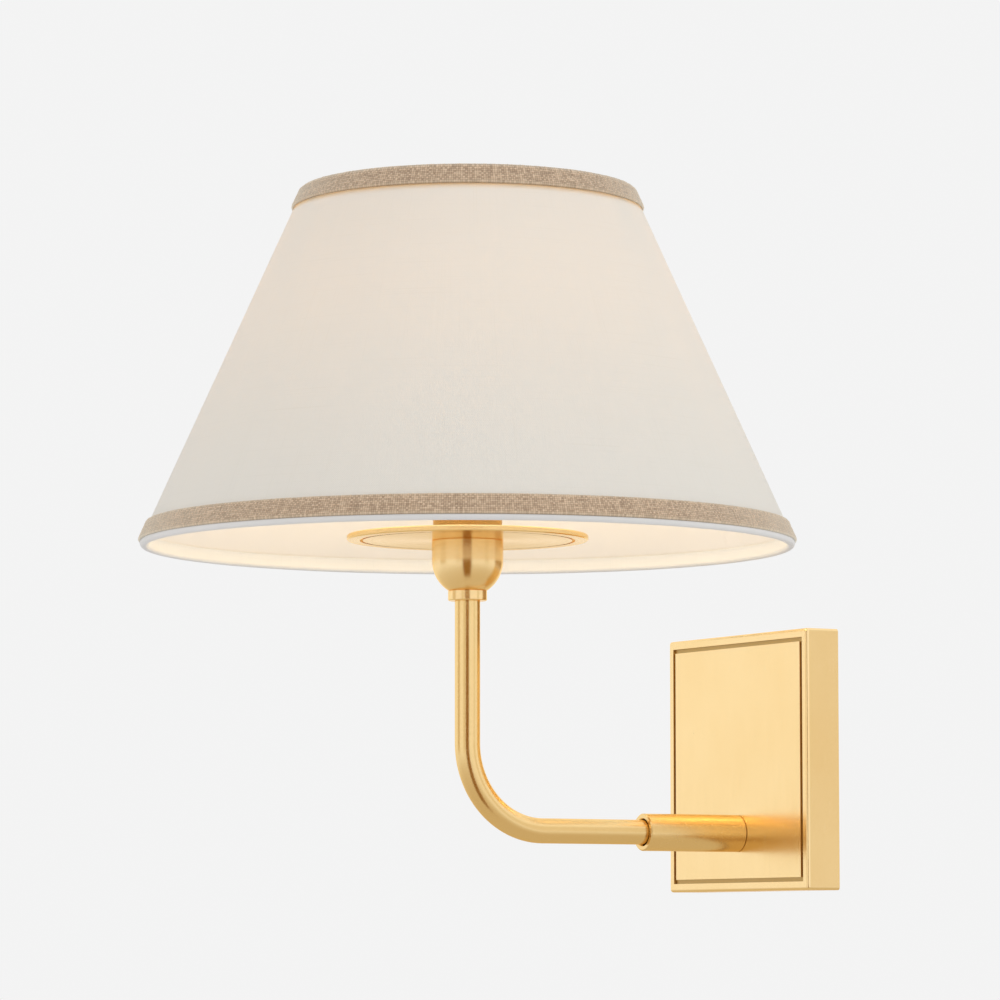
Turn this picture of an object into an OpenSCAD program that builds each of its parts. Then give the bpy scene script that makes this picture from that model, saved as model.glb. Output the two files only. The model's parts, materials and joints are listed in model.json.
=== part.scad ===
// Wall sconce: a square backplate, a bent brass arm and a cone-shaped fabric shade over a lamp socket.
// Millimetres. The origin is the middle of the backplate's rear plane, on the wall.
// +Z is up, the wall is on the +Y side, and the light stands out from it towards -Y.

/* [Backplate] */
// Width of the backplate
plate_w = 127; // [110:1:150]
// Height of the backplate
plate_h = 127; // [120:1:150]
// Depth of the backplate, from the wall to its front
plate_d = 18.4; // [17:0.2:26]
// Thickness of its four side walls
plate_wall = 1.6; // [1.2:0.1:2.4]
// Thickness of its front
plate_front = 3; // [2.4:0.1:4]
// Rounding of its front edges and corners
plate_round = 1.5; // [0.6:0.1:1.6]
// Flat border outside the groove
border_w = 4.2; // [3:0.1:8]
// Width of the groove round the front
groove_w = 2.1; // [1.2:0.1:4]
// Depth of the groove
groove_d = 1.2; // [0.6:0.1:1.6]

/* [Mounting bracket] */
// Width of the steel bar
bracket_w = 22; // [18:1:30]
// Thickness of the steel bar
bracket_t = 2; // [1.6:0.1:3]
// Distance between the two wall screws
slot_spacing = 88.9; // [80:0.1:92]
// Width of a wall screw's slot
slot_w = 4.8; // [4:0.1:5.5]
// Overall length of a wall screw's slot
slot_len = 12; // [8:0.5:16]
// Length of the turned-out tabs that hold the backplate
tab_len = 12; // [10.5:0.5:14]
// Diameter of the screws that hold the backplate on the tabs
cover_screw_d = 4; // [3:0.5:5]
// Length of those screws
cover_screw_len = 6.5; // [6:0.5:9]
// Diameter of the ground screw
ground_screw_d = 4.1; // [3.5:0.1:5]
// Height of the ground screw above the middle of the backplate
ground_screw_z = 15; // [13:1:20]

/* [Arm] */
// Height of the arm below the middle of the backplate
hub_drop = 35; // [25:1:45]
// Diameter of the sleeve on the backplate
hub_d = 18.3; // [16.5:0.1:24]
// Length of the sleeve
hub_len = 55; // [30:1:80]
// Thickness of the sleeve's closed end
hub_web = 4; // [3:0.5:8]
// Diameter of the tube
tube_d = 12.2; // [11.6:0.1:14]
// Wall of the tube
tube_wall = 1.1; // [0.8:0.1:1.3]
// Distance from the wall to the lamp's upright axis
reach = 171.5; // [168:0.5:220]
// Radius of the bend, at the middle of the tube
bend_r = 41.5; // [25:0.5:60]
// Height of the tube's top above the level part of the arm
arm_rise = 110; // [90:1:150]
// Wall of the two threaded tubes that join the arm's ends
nipple_wall = 1.7; // [1:0.1:2]
// Width across the flats of the lock nuts
nut_af = 15.9; // [14:0.1:16.4]
// Thickness of the lock nuts
nut_t = 3; // [2:0.1:4]

/* [Cup and disc] */
// Diameter of the small ring under the cup
collar_d = 18.8; // [16:0.1:22]
// Height of the small ring under the cup
collar_h = 5; // [3:0.5:8]
// Height of the cup
cup_h = 24; // [22:0.5:30]
// Wall of the cup
cup_wall = 1.2; // [0.8:0.1:2]
// Floor of the cup
cup_floor = 2; // [1.5:0.1:3]
// Diameter of the disc
disc_d = 116.5; // [80:0.5:140]
// Thickness of the disc
disc_t = 2.7; // [2:0.1:4]
// Distance from the disc's edge to the groove in its underside
disc_border = 6.3; // [3:0.1:12]
// Width of the disc's groove
disc_groove_w = 1.4; // [0.8:0.1:3]
// Depth of the disc's groove
disc_groove_d = 1.1; // [0.5:0.1:1.5]
// Outer diameter of the ring on top of the disc
disc_ring_d = 33.4; // [32.6:0.1:40]
// Height of the ring on top of the disc
disc_ring_h = 11; // [8:0.5:16]

/* [Socket] */
// Outer diameter of the threaded socket
socket_d = 31; // [30:0.1:34]
// Wall of the socket
socket_wall = 1.5; // [1.2:0.1:1.7]
// Height of the wiring space in the socket's base
wiring_h = 7; // [6.5:0.5:10]
// Thickness of the socket's inner floor
socket_floor = 4.6; // [4:0.1:7]
// Thickness of the shade frame's flat ring
uno_t = 1.5; // [1:0.1:3]
// Outer diameter of the shade frame's flat ring
uno_d = 45; // [43:0.5:50]
// Outer diameter of the ring that clamps the shade
shade_ring_d = 41; // [36:0.5:42]
// Height of the ring that clamps the shade
shade_ring_h = 5.5; // [4:0.5:8]
// Diameter of an insulated lead
lead_d = 2.2; // [1.6:0.1:2.4]

/* [Bulb] */
// Largest diameter of the bulb
bulb_d = 60; // [45:1:70]
// Length of the bulb from its contact to its top
bulb_len = 106; // [95:1:120]
// Diameter over the thread of the bulb's cap
cap_d = 26.2; // [26:0.1:26.6]
// Pitch of the bulb's thread
cap_pitch = 3.63; // [3:0.01:4]
// Thickness of the bulb's glass
glass_t = 0.8; // [0.5:0.1:1.5]

/* [Shade] */
// Diameter of the fabric at the bottom
shade_bottom_d = 317.5; // [260:0.5:330]
// Diameter of the fabric at the top
shade_top_d = 160; // [120:1:200]
// Height of the shade
shade_h = 175; // [150:1:220]
// How far the shade's bottom edge hangs below the disc
shade_drop = 4; // [0:0.5:12]
// Thickness of the stiff liner
liner_t = 0.8; // [0.5:0.1:1.2]
// Thickness of the fabric
fabric_t = 0.6; // [0.4:0.1:1]
// Thickness of the woven trims
trim_t = 1.5; // [0.8:0.1:2]
// Width of the woven trims
trim_w = 11.2; // [7:0.1:20]
// Thickness of the rolled binding
binding_t = 0.6; // [0.4:0.1:0.8]
// Width of the binding inside the shade
fold_w = 5.5; // [5:0.5:15]
// Diameter of the wire in the top and bottom hoops
hoop_wire_d = 2.8; // [2:0.1:3.2]
// Diameter of the wire in the shade's arms
arm_wire_d = 3; // [2:0.1:4]

/* [Hidden] */
$fn = 96;

// Colours, as the photograph shows them
brass = [0.86, 0.70, 0.42];
raw_brass = [0.80, 0.66, 0.36];
steel = [0.72, 0.73, 0.74];
copper = [0.78, 0.46, 0.28];
linen = [0.88, 0.85, 0.80];
tape = [0.72, 0.62, 0.50];
wire_white = [0.92, 0.92, 0.90];
black = [0.10, 0.10, 0.10];

// Clearances
cut = 1;                // how far a cut runs past the face that it opens
slip = 0.1;             // radial play of a piece that slides over another
run = 0.08;             // radial play of a fit that turns
seat_gap = 0.1;         // between the flat faces of pieces that turn on each other
glue = 0.05;            // between the layers of the shade
hole_play = 0.3;        // radial play of a screw or nipple in a plain hole
tab_gap = 0.3;          // between the bracket's tabs and the backplate's walls
socket_gap = 0.5;       // between the socket and the cup round it
contact_gap = 0.3;      // between the bulb and the socket's spring contact

// Arm and hub
arm_z = -hub_drop;
tube_r = tube_d / 2;
nipple_r = tube_r - tube_wall - glue;
nipple_bore_r = nipple_r - nipple_wall;
tube_gap = 0.45;        // the gap that shows round the tube in the sleeve's mouth
hub_bore_r = tube_r + tube_gap;
hub_edge = 0.6;
hub_foot = 0.3;         // the broken edge where the sleeve stands on the backplate
nipple_grip = 13;       // length of a nipple inside the tube
nipple_tail = 1.7;      // length of the hub nipple past its nut
washer_t = 1;
washer_rim = 1.2;       // how far the washer reaches past the nut's flats
washer_r = nut_af / 2 + washer_rim;
eyelet_t = 0.8;
eyelet_rim = 2;         // width of a ring terminal round its hole
tongue_w = 3;
tongue_over = 2;        // how far a terminal's tongue reaches past what presses on it
front_inner = plate_d - plate_front;
washer_y = front_inner - washer_t;
eyelet_y = washer_y - eyelet_t;
hub_nut_y = eyelet_y - nut_t;
hub_tail_y = hub_nut_y - nipple_tail;
tube_seat_y = plate_d + hub_web;

// Bracket
tab_t = 2.5;
tab_top = plate_h / 2 - plate_wall - tab_gap;
tab_edge = 4;           // from a tab's end to the middle of its screw
tab_screw_y = tab_len - tab_edge;
centre_hole_r = 5.1;
ground_head_d = 8.6;
ground_head_t = 2.4;
ground_wire_r = 0.9;
ground_bend = 5;        // radius of the two bends in the ground wire
ground_rise = 9;        // length of the ground wire's straight ends

// Stem, cup and disc, upwards along the lamp's axis
stem_top = arm_z + arm_rise;
collar_top = stem_top + collar_h;
socket_r = socket_d / 2;
cup_bore_r = socket_r + socket_gap;
cup_r = cup_bore_r + cup_wall;
cup_ball_z = collar_top + sqrt(cup_r * cup_r - collar_d * collar_d / 4);
cup_top = collar_top + cup_h;
cup_edge = 0.3;
disc_top = cup_top + disc_t;
disc_edge = 0.5;
disc_ring_top = disc_top + disc_ring_h;

// Socket
cap_z = collar_top + cup_floor + nut_t;
cap_floor = 2.4;
cap_wall = 1.2;
cap_gap = 0.6;
chamber_z = cap_z + cap_floor;
slab_z = chamber_z + wiring_h;
well_z = slab_z + socket_floor;
uno_z = disc_ring_top + seat_gap;
shade_ring_z = uno_z + uno_t + seat_gap;
socket_top = shade_ring_z + shade_ring_h + 2;
stem_nipple_top = chamber_z + 1.2;
contact_t = 0.8;
contact_z = well_z + contact_t + contact_gap;
terminal_x = 8.6;
terminal_head_r = 2.7;
terminal_head_t = 2.2;
terminal_r = 1.5;
terminal_gap = 0.6;     // the lead's loop goes between a terminal screw's head and the socket
terminal_z = slab_z - terminal_gap - terminal_head_t;
hole_end = 1;           // what is left of the socket's floor over a terminal screw's hole

// Thread of the bulb and the socket's shell, drawn as rings one pitch apart
thread_depth = 0.75;
thread_play = 0.1;
shell_t = 0.35;
thread_z0 = contact_z + 5;
thread_turns = 5;
thread_z1 = thread_z0 + thread_turns * cap_pitch;
thread_mid_r = cap_d / 2 - thread_depth / 2;

// Bulb
neck_r = cap_d / 2 - thread_depth - shell_t - glue;
bulb_top = contact_z + bulb_len;
bulb_ball_z = bulb_top - bulb_d / 2;
cap_rim_z = thread_z1 + 3;
neck_in = 2;            // how deep the glass sits in the cap
neck_z = cap_rim_z - neck_in;
cap_foot_r = 9;         // the black insulator fills the foot of the cap
cap_foot_h = 2.4;       // height of that foot above the contact
button_h = 1;           // thickness of the bulb's contact
insulator_top = 3.6;
mount_r = 2.2;
mount_disc_r = 4.2;
mount_disc_t = 1.5;
neck_flare = 1.5;       // these three shape the glass between the ball and the neck
upper_pull = 0.42;
lower_pull = 0.72;
mount_low_z = bulb_ball_z - 20;
mount_high_z = bulb_ball_z + 14;
filament_r = 0.9;
filaments = 4;

// Shade: its drawing frame runs s up along the fabric's outside and o straight out from it
shade_z = cup_top - shade_drop;
lean = atan((shade_bottom_d - shade_top_d) / 2 / shade_h);
hoop_r = hoop_wire_d / 2;
roll_in = hoop_r + glue;
roll_r = roll_in + binding_t;
liner_out = -(fabric_t + glue);
liner_in = liner_out - liner_t;
fold_out = liner_in - glue;
fold_in = fold_out - binding_t;
low_s = roll_r * (1 + sin(lean)) / cos(lean);
top_roll = roll_r + glue + trim_t;
high_s = (shade_h - top_roll + roll_r * sin(lean)) / cos(lean);
fold_bend = 4;          // slant length over which a fold closes up to the liner
sheet_low = low_s + roll_in;
sheet_high = high_s - roll_in;
trim_play = 0.05;
trim_edge = 0.4;
trim_turn = 80;         // how far the top trim turns over the edge, in degrees

// Shade frame
arm_r = arm_wire_d / 2;
arm_count = 3;
arm_z0 = uno_z + uno_t / 2;
arm_foot_r = uno_d / 2 + glue;
arm_turn_r = arm_foot_r + 6;
arm_bend_r = 4;
arm_first_turn = 30;    // turns the arms so that none points at the wall

// Wiring route, right-hand lead; the left-hand one is its mirror image
lead_r = lead_d / 2;
lead_x = lead_r + 0.25;
lead_turn = 3.5;
connector_x = 18;
connector_y = -8;
connector_z = -10;
connector_h = 22;
connector_r = 5.6;
connector_top_r = 4.2;
connector_grip = 13;
connector_wall = 0.6;
connector_skirt = 3;    // height of the wide end of a connector
connector_taper = 2;
connector_crown = 1;    // height of the rounded closed end
lead_drop_z = connector_z - 12;
lead_back_y = -5;
lead_end_z = chamber_z + 4.4;   // level with the terminal screws' heads
lead_socket_turn = 2.4;

// Helpers

// A solid whose own +Z points out of the wall, at the height of the arm
module out_of_wall(depth) {
    translate([0, -depth, arm_z]) rotate([90, 0, 0]) children();
}

module at_lamp(z = 0) {
    translate([0, -reach, z]) children();
}

// A tube that stands on the lamp's axis
module lamp_pipe(z0, z1, r_out, r_in) {
    at_lamp(z0) difference() {
        cylinder(r = r_out, h = z1 - z0);
        translate([0, 0, -cut]) cylinder(r = r_in, h = z1 - z0 + 2 * cut);
    }
}

// A shape drawn as radius and height, turned about the lamp's axis
module lamp_turned(points) {
    at_lamp() rotate_extrude() polygon(points);
}

module hex_nut(af, t, bore_r) {
    difference() {
        cylinder(d = af / cos(30), h = t, $fn = 6);
        translate([0, 0, -cut]) cylinder(r = bore_r, h = t + 2 * cut);
    }
}

function arc(c, r, a0, a1, n) = [for (i = [0 : n])
    let (a = a0 + (a1 - a0) * i / n) [c[0] + r * cos(a), c[1] + r * sin(a)]];

function arc_length(r, turn) = r * turn * PI / 180;

function unit(v) = v / norm(v);

// The points of a round corner at b, between a and c
function corner(a, b, c, r, n) = let (
        u = unit(a - b),
        v = unit(c - b),
        half = acos(u * v) / 2,
        middle = b + unit(u + v) * r / sin(half),
        from = b + u * r / tan(half) - middle,
        to = b + v * r / tan(half) - middle,
        swing = 180 - 2 * half)
    [for (i = [0 : n]) middle + (from * sin(swing * (n - i) / n) + to * sin(swing * i / n)) / sin(swing)];

// A round wire swept along a route; no part of a route may run along the frame direction
module wire(route, r, sides = 8) {
    frame = unit([1, 1, 1]);
    last = len(route) - 1;
    rings = [for (i = [0 : last]) let (
            t = unit(route[min(i + 1, last)] - route[max(i - 1, 0)]),
            side = unit(cross(t, frame)),
            up = cross(side, t))
        [for (k = [0 : sides - 1]) let (a = 360 * k / sides)
            route[i] + r * (cos(a) * side + sin(a) * up)]];
    points = [for (ring = rings) each ring];
    walls = [for (i = [0 : last - 1]) for (k = [0 : sides - 1]) let (
            a = i * sides + k,
            b = i * sides + (k + 1) % sides,
            c = b + sides,
            d = a + sides)
        each [[a, b, c], [a, c, d]]];
    near = [for (k = [1 : sides - 2]) [0, k + 1, k]];
    far = [for (k = [1 : sides - 2]) [last * sides, last * sides + k, last * sides + k + 1]];
    polyhedron(points = points, faces = concat(walls, near, far));
}

// Wall bracket and backplate

// A slot along Z through the bar, made of two round ends and the straight between them
module bracket_slot() {
    straight = slot_len - slot_w;
    for (z = [-straight / 2, straight / 2])
        translate([0, cut, z]) rotate([90, 0, 0]) cylinder(d = slot_w, h = bracket_t + 2 * cut);
    translate([-slot_w / 2, -bracket_t - cut, -straight / 2])
        cube([slot_w, bracket_t + 2 * cut, straight]);
}

module mounting_bracket() {
    color(steel) difference() {
        union() {
            translate([-bracket_w / 2, -bracket_t, -tab_top])
                cube([bracket_w, bracket_t, 2 * tab_top]);
            for (side = [-1, 1])
                translate([-bracket_w / 2, -tab_len, side > 0 ? tab_top - tab_t : -tab_top])
                    cube([bracket_w, tab_len, tab_t]);
        }
        for (side = [-1, 1]) {
            translate([0, 0, side * slot_spacing / 2]) bracket_slot();
            translate([0, -tab_screw_y, side * (tab_top - tab_t / 2) - tab_t])
                cylinder(d = cover_screw_d + 2 * glue, h = 2 * tab_t);
        }
        translate([0, cut, 0]) rotate([90, 0, 0]) cylinder(r = centre_hole_r, h = bracket_t + 2 * cut);
        translate([0, cut, ground_screw_z]) rotate([90, 0, 0])
            cylinder(d = ground_screw_d + 2 * glue, h = bracket_t + 2 * cut);
    }
}

// Pan-head screw through the ground lead's eyelet into the bar
module ground_screw() {
    slot_depth = 1;
    color([0.20, 0.52, 0.28]) translate([0, 0, ground_screw_z]) rotate([90, 0, 0]) difference() {
        union() {
            translate([0, 0, glue]) cylinder(d = ground_screw_d, h = bracket_t + eyelet_t + glue);
            translate([0, 0, bracket_t + eyelet_t + 2 * glue])
                cylinder(d = ground_head_d, h = ground_head_t);
        }
        translate([-ground_head_d, -0.5, bracket_t + eyelet_t + ground_head_t - slot_depth])
            cube([2 * ground_head_d, 1, slot_depth + cut]);
    }
}

// A box with its rear at z = 0 and all but its rear edges rounded
module rounded_front_box(w, h, d, r) {
    x = w / 2 - r;
    y = h / 2 - r;
    translate([-x, -h / 2, 0]) cube([2 * x, h, d - r]);
    translate([-w / 2, -y, 0]) cube([w, 2 * y, d - r]);
    translate([-x, -y, 0]) cube([2 * x, 2 * y, d]);
    for (sx = [-1, 1]) for (sy = [-1, 1]) {
        translate([sx * x, sy * y, 0]) cylinder(r = r, h = d - r);
        translate([sx * x, sy * y, d - r]) sphere(r = r);
    }
    for (sx = [-1, 1]) translate([sx * x, y, d - r]) rotate([90, 0, 0]) cylinder(r = r, h = 2 * y);
    for (sy = [-1, 1]) translate([-x, sy * y, d - r]) rotate([0, 90, 0]) cylinder(r = r, h = 2 * x);
}

module backplate() {
    inner_w = plate_w - 2 * plate_wall;
    inner_h = plate_h - 2 * plate_wall;
    groove_out = 2 * border_w;
    groove_in = 2 * (border_w + groove_w);
    color(brass) rotate([90, 0, 0]) difference() {
        rounded_front_box(plate_w, plate_h, plate_d, plate_round);
        translate([-inner_w / 2, -inner_h / 2, -cut]) cube([inner_w, inner_h, front_inner + cut]);
        translate([0, 0, plate_d - groove_d]) linear_extrude(groove_d + cut) difference() {
            square([plate_w - groove_out, plate_h - groove_out], center = true);
            square([plate_w - groove_in, plate_h - groove_in], center = true);
        }
        translate([0, arm_z, front_inner - cut])
            cylinder(r = nipple_r + hole_play, h = plate_front + 2 * cut);
        for (side = [-1, 1])
            translate([0, side * (plate_h - plate_wall) / 2 + plate_wall, tab_screw_y]) rotate([90, 0, 0])
                cylinder(d = cover_screw_d + 2 * hole_play, h = 2 * plate_wall);
    }
}

// Headless screws with a hexagon socket, flush in the top and bottom walls
module cover_screws() {
    sunk = 0.3;
    key_af = 2;
    key_depth = 2.2;
    color(raw_brass) for (side = [-1, 1])
        translate([0, -tab_screw_y, side * (plate_h / 2 - sunk)]) rotate([side > 0 ? 180 : 0, 0, 0])
            difference() {
                cylinder(d = cover_screw_d, h = cover_screw_len);
                translate([0, 0, -cut]) cylinder(d = key_af / cos(30), h = key_depth + cut, $fn = 6);
            }
}

// Arm

module hub_sleeve() {
    hub_r = hub_d / 2;
    bore_edge = 0.4;
    color(brass) out_of_wall(plate_d) rotate_extrude() polygon([
        [nipple_r + slip, 0], [hub_r - hub_foot, 0], [hub_r, hub_foot],
        [hub_r, hub_len - hub_edge], [hub_r - hub_edge, hub_len],
        [hub_bore_r + bore_edge, hub_len], [hub_bore_r, hub_len - bore_edge], [hub_bore_r, hub_web],
        [nipple_r + slip, hub_web]
    ]);
}

module hub_nipple() {
    length = tube_seat_y + nipple_grip - hub_tail_y;
    color(raw_brass) out_of_wall(hub_tail_y) difference() {
        cylinder(r = nipple_r, h = length);
        translate([0, 0, -cut]) cylinder(r = nipple_bore_r, h = length + 2 * cut);
    }
}

// Star washer: its teeth bite the backplate
module hub_washer() {
    teeth = 12;
    tooth = 1.2;
    color(steel) out_of_wall(washer_y) difference() {
        cylinder(r = washer_r, h = washer_t);
        translate([0, 0, -cut]) cylinder(r = nipple_r + hole_play, h = washer_t + 2 * cut);
        for (i = [0 : teeth - 1]) rotate(i * 360 / teeth)
            translate([washer_r - tooth, -tooth / 2, -cut]) cube([2 * tooth, tooth, washer_t + 2 * cut]);
    }
}

module hub_nut() {
    color(raw_brass) out_of_wall(hub_nut_y) hex_nut(nut_af, nut_t, nipple_r + glue);
}

// The arm's whole run as a solid of radius r, longer at both ends by more
module arm_run(r, more = 0) {
    level = reach - bend_r - tube_seat_y;
    upright = arm_rise - bend_r;
    out_of_wall(tube_seat_y - more) cylinder(r = r, h = level + more);
    translate([0, bend_r - reach, arm_z + bend_r]) rotate([180, 90, 0])
        rotate_extrude(angle = 90) translate([bend_r, 0]) circle(r = r);
    at_lamp(arm_z + bend_r) cylinder(r = r, h = upright + more);
}

module arm_tube() {
    color(brass) difference() {
        arm_run(tube_r);
        arm_run(tube_r - tube_wall, cut);
    }
}

module stem_collar() {
    edge = 0.4;
    r = collar_d / 2;
    bore = nipple_r + slip;
    color(brass) lamp_turned([
        [bore, stem_top], [r - edge, stem_top], [r, stem_top + edge],
        [r, collar_top - edge], [r - edge, collar_top], [bore, collar_top]
    ]);
}

module stem_nipple() {
    color(raw_brass) lamp_pipe(stem_top - nipple_grip, stem_nipple_top, nipple_r, nipple_bore_r);
}

module cup_nut() {
    color(raw_brass) at_lamp(collar_top + cup_floor) hex_nut(nut_af, nut_t, nipple_r + glue);
}

// Round-bottomed cup, cut flat where it stands on the collar
module socket_cup() {
    foot_r = collar_d / 2;
    start = -asin((cup_ball_z - collar_top) / cup_r);
    floor_z = collar_top + cup_floor;
    inner_start = -asin((cup_ball_z - floor_z) / cup_bore_r);
    color(brass) lamp_turned(concat(
        [[nipple_r + slip, collar_top], [foot_r, collar_top]],
        arc([0, cup_ball_z], cup_r, start + 2, 0, 24),
        [[cup_r, cup_top - cup_edge], [cup_r - cup_edge, cup_top], [cup_bore_r, cup_top]],
        arc([0, cup_ball_z], cup_bore_r, 0, inner_start, 20),
        [[nipple_r + slip, floor_z]]
    ));
}

// Turned disc that hides the bulb from below
module light_disc() {
    r = disc_d / 2;
    groove_r = r - disc_border;
    bore = socket_r + slip;
    color(brass) lamp_turned([
        [bore, cup_top], [groove_r - disc_groove_w, cup_top],
        [groove_r - disc_groove_w, cup_top + disc_groove_d], [groove_r, cup_top + disc_groove_d],
        [groove_r, cup_top], [r - disc_edge, cup_top], [r, cup_top + disc_edge],
        [r, disc_top - disc_edge], [r - disc_edge, disc_top], [bore, disc_top]
    ]);
}

module disc_ring() {
    edge = 0.3;
    r = disc_ring_d / 2;
    bore = socket_r + glue;
    color(brass) lamp_turned([
        [bore, disc_top], [r, disc_top], [r, disc_ring_top - edge], [r - edge, disc_ring_top],
        [bore, disc_ring_top]
    ]);
}

// Socket

// Inner radius of the cup at a height, less the gap that the socket's cap keeps to it
function cap_fit_r(z) = z >= cup_ball_z
    ? cup_bore_r - cap_gap
    : sqrt(cup_bore_r * cup_bore_r - (cup_ball_z - z) * (cup_ball_z - z)) - cap_gap;

// Base cap that screws on the nipple and closes the wiring space
module socket_cap() {
    steps = 5;
    outer = [for (i = [0 : steps]) let (z = cap_z + (slab_z - cap_z) * i / steps)
        [cap_fit_r(z) - cap_gap, z]];
    inner = [for (i = [steps : -1 : 0]) let (z = chamber_z + (slab_z - chamber_z) * i / steps)
        [cap_fit_r(z) - cap_gap - cap_wall, z]];
    bore = nipple_r + glue;
    color(black) lamp_turned(concat([[bore, cap_z]], outer, inner, [[bore, chamber_z]]));
}

module socket_body() {
    well_r = socket_r - socket_wall;
    base_r = cap_fit_r(slab_z) - cap_gap;
    step = 1;
    edge = 0.5;
    color([0.93, 0.92, 0.88]) at_lamp() difference() {
        rotate_extrude() polygon([
            [0, slab_z], [base_r, slab_z], [socket_r, slab_z + step], [socket_r, socket_top - edge],
            [socket_r - edge, socket_top], [well_r, socket_top], [well_r, well_z], [0, well_z]
        ]);
        for (side = [-1, 1]) translate([side * terminal_x, 0, slab_z - cut])
            cylinder(r = terminal_r + glue, h = socket_floor - hole_end + cut);
        translate([0, 0, slab_z - cut]) cylinder(r = terminal_r + glue, h = socket_floor + 2 * cut);
    }
}

// One flank line of a thread, as points of radius and height
function thread_line(grow, z0, z1, n) = [for (i = [0 : n])
    let (z = z0 + (z1 - z0) * i / n)
    [thread_mid_r + grow + thread_depth / 2 * cos(360 * (z - thread_z0) / cap_pitch), z]];

thread_points = 6 * thread_turns;

module screw_shell() {
    floor_z = well_z + glue;
    rim_z = socket_top - 1;
    in = thread_play;
    out = thread_play + shell_t;
    crest = thread_mid_r + thread_depth / 2;
    hole_r = 5;
    color(raw_brass) lamp_turned(concat(
        [[hole_r, floor_z], [crest + out, floor_z]],
        thread_line(out, thread_z0, thread_z1, thread_points),
        [[crest + out, rim_z], [crest + in, rim_z]],
        thread_line(in, thread_z1, thread_z0, thread_points),
        [[crest + in, floor_z + shell_t], [hole_r, floor_z + shell_t]]
    ));
}

// Contact button with its rivet through the socket's floor
module centre_contact() {
    button_r = 3.6;
    rivet_end = 1;
    color(raw_brass) at_lamp() {
        translate([0, 0, well_z]) cylinder(r = button_r, h = contact_t);
        translate([0, 0, slab_z - rivet_end]) cylinder(r = terminal_r, h = well_z - slab_z + rivet_end);
    }
}

module terminal_screws() {
    driver_w = 0.8;
    driver_depth = 0.7;
    end_gap = 0.5;
    length = slab_z - terminal_z + socket_floor - hole_end - end_gap;
    color([0.75, 0.70, 0.45]) at_lamp() for (side = [-1, 1]) translate([side * terminal_x, 0, terminal_z])
        difference() {
            union() {
                cylinder(r = terminal_head_r, h = terminal_head_t);
                cylinder(r = terminal_r, h = length);
            }
            translate([-terminal_head_r, -driver_w / 2, -cut])
                cube([2 * terminal_head_r, driver_w, cut + driver_depth]);
        }
}

// Wiring

// From a connector behind the backplate, through the hub, the arm and the stem, to a terminal screw
module lead() {
    in_cap = [connector_x, connector_y, connector_z + connector_grip];
    below = [connector_x, connector_y, lead_drop_z];
    behind = [lead_x, lead_back_y, arm_z];
    elbow = [lead_x, -reach, arm_z];
    above = [lead_x, -reach, lead_end_z];
    screw = [terminal_x - terminal_head_r - glue, -reach, lead_end_z];
    wire(concat(
        [in_cap],
        corner(in_cap, below, behind, lead_turn, 6),
        corner(below, behind, elbow, lead_turn, 6),
        corner(behind, elbow, above, bend_r, 14),
        corner(elbow, above, screw, lead_socket_turn, 6),
        [screw]
    ), lead_r);
}

module neutral_lead() {
    color(wire_white) lead();
}

module live_lead() {
    color(black) mirror([1, 0, 0]) lead();
}

// A flat ring with a tongue along +Y that the wire is soldered to
module ring_terminal(bore_r, tongue) {
    t = eyelet_t - 2 * glue;
    difference() {
        union() {
            cylinder(r = bore_r + eyelet_rim, h = t);
            translate([-tongue_w / 2, 0, 0]) cube([tongue_w, tongue, t]);
        }
        translate([0, 0, -cut]) cylinder(r = bore_r, h = t + 2 * cut);
    }
}

// Bare wire between a terminal under the hub nut and a terminal under the ground screw
module ground_lead() {
    low_y = -(eyelet_y + eyelet_t / 2);
    high_y = -(bracket_t + 2 * glue + ground_wire_r);
    low_z = arm_z + washer_r + slip + glue;
    high_z = ground_screw_z - ground_head_d / 2 - slip - glue;
    low = [0, low_y, low_z];
    low_bend = [0, low_y, low_z + ground_rise];
    high_bend = [0, high_y, high_z - ground_rise];
    high = [0, high_y, high_z];
    color(copper) {
        out_of_wall(eyelet_y + glue) ring_terminal(nipple_r + hole_play, washer_r + tongue_over);
        wire(concat(
            [low],
            corner(low, low_bend, high_bend, ground_bend, 5),
            corner(low_bend, high_bend, high, ground_bend, 5),
            [high]
        ), ground_wire_r);
        translate([0, -bracket_t - glue, ground_screw_z]) rotate([90, 180, 0])
            ring_terminal(ground_screw_d / 2 + glue, ground_head_d / 2 + tongue_over);
    }
}

// Twist-on caps over the leads' ends
module wire_connectors() {
    bore_r = lead_r + 2 * slip;
    bore_end = connector_grip + hole_play;
    crown_r = connector_top_r - connector_wall;
    color([0.86, 0.45, 0.16]) for (side = [-1, 1]) translate([side * connector_x, connector_y, connector_z])
        rotate_extrude() polygon([
            [bore_r, 0], [connector_r, 0], [connector_r, connector_skirt],
            [connector_top_r, connector_skirt + connector_taper],
            [crown_r, connector_h - connector_crown], [crown_r - connector_crown, connector_h],
            [0, connector_h], [0, bore_end], [bore_r, bore_end]
        ]);
}

// Shade frame

// Knurled ring that clamps the shade's frame on the socket
module shade_ring() {
    ribs = 40;
    rib = 0.5;
    r = shade_ring_d / 2;
    outline = [for (i = [0 : 2 * ribs - 1]) let (a = 180 * i / ribs, k = i % 2 == 0 ? r : r - rib)
        [k * cos(a), k * sin(a)]];
    color(black) at_lamp(shade_ring_z) difference() {
        linear_extrude(shade_ring_h) polygon(outline);
        translate([0, 0, -cut]) cylinder(r = socket_r + run, h = shade_ring_h + 2 * cut);
    }
}

module uno_ring() {
    color(wire_white) lamp_pipe(uno_z, uno_z + uno_t, uno_d / 2, socket_r + run);
}

// A point of the shade's section, s up the fabric's outside and o out from it, as radius and height
function skin(s, o) = [
    shade_bottom_d / 2 - s * sin(lean) + o * cos(lean),
    shade_z + s * cos(lean) + o * sin(lean)
];

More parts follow.
